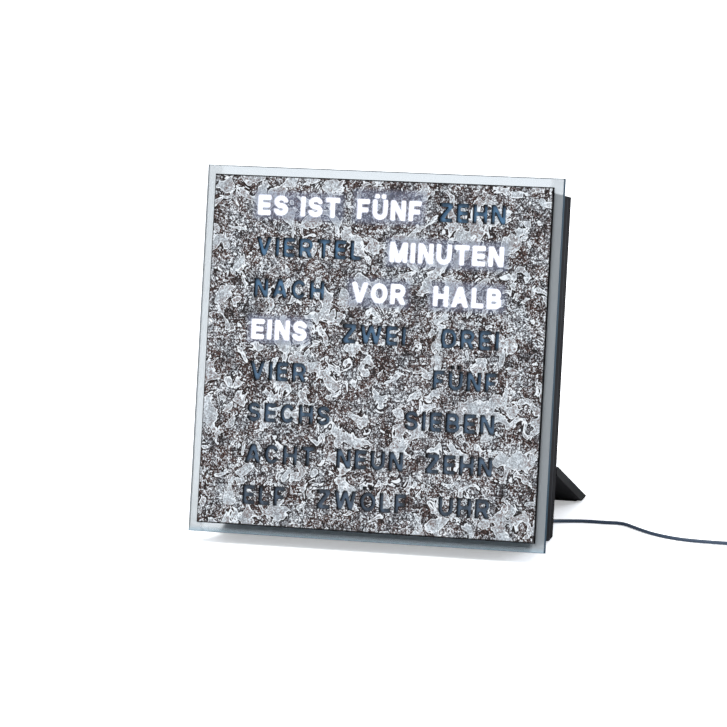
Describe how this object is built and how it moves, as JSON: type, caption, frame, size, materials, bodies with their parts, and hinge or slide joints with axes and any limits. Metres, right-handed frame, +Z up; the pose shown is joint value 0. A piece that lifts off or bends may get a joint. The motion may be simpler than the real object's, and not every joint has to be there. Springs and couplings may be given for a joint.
{
  "type": "word clock",
  "caption": "Square table word clock: lit time words in a stone face on a clear plate, shallow case, fold-out stand and cord.",
  "frame": {"origin": "on the table, under the middle of the clock's box without its cord", "axes": "+Z up, the face towards -Y and leaning back, +X to the right of a viewer in front"},
  "size_m": [0.3683, 0.1462, 0.2242],
  "materials": {
    "clear": "clear polished",
    "stone": "honed, weathered",
    "film": "translucent, matt",
    "black": "matt",
    "case": "powder coated",
    "stand": "black anodised",
    "steel": "plain",
    "white_plastic": "matt",
    "board_green": "solder mask",
    "led": "clear resin",
    "dark_plastic": "fine grain",
    "grey_plastic": "matt",
    "rubber": "matt",
    "cord": "matt sleeve",
    "nickel": "plated"
  },
  "bodies": {
    "clock": {"front_plate": "clear", "stone_sheet": "stone", "light_film": "film", "letter_board": "black", "plate_screws": "steel", "case_shell": "case", "rear_cover": "case", "cover_screws": "steel", "base_feet": "rubber", "light_grid": "white_plastic", "led_board": "board_green", "leds": "led", "board_screws": "steel", "control_board": "board_green", "board_spacers": "steel", "controller_chip": "dark_plastic", "quartz_crystal": "nickel", "cell_holder": "dark_plastic", "backup_cell": "nickel", "ribbon_sockets": "white_plastic", "ribbon_cable": "grey_plastic", "key_switches": "dark_plastic", "dc_jack": "dark_plastic", "plug_barrel": "nickel", "plug_body": "dark_plastic", "hinge_bracket_left": "stand", "hinge_bracket_right": "stand", "bracket_screws": "steel", "friction_washers": "white_plastic", "power_cord": "cord", "cord_coil": "cord", "coil_tie": "rubber", "cord_tail": "cord", "end_plug_body": "dark_plastic", "end_plug_shell": "nickel"},
    "stand": {"stand_flap": "stand", "hinge_pins": "steel", "stand_pad": "rubber"},
    "hour_button": {"button_hour": "dark_plastic", "key_stem_hour": "grey_plastic"},
    "minute_button": {"button_minute": "dark_plastic", "key_stem_minute": "grey_plastic"},
    "light_button": {"button_light": "dark_plastic", "key_stem_light": "grey_plastic"}
  },
  "joints": [
    {"name": "stand_fold", "type": "hinge", "parent": "clock", "child": "stand", "pos_m": [0, -0.00022, 0.03774], "axis": [1, 0, 0], "range_deg": [0, 103]},
    {"name": "hour_press", "type": "slide", "parent": "clock", "child": "hour_button", "axis": [0, -0.9613, 0.2756], "range_m": [0, 0.0008], "stiffness_N_per_m": 900},
    {"name": "minute_press", "type": "slide", "parent": "clock", "child": "minute_button", "axis": [0, -0.9613, 0.2756], "range_m": [0, 0.0008], "stiffness_N_per_m": 900},
    {"name": "light_press", "type": "slide", "parent": "clock", "child": "light_button", "axis": [0, -0.9613, 0.2756], "range_m": [0, 0.0008], "stiffness_N_per_m": 900}
  ]
}
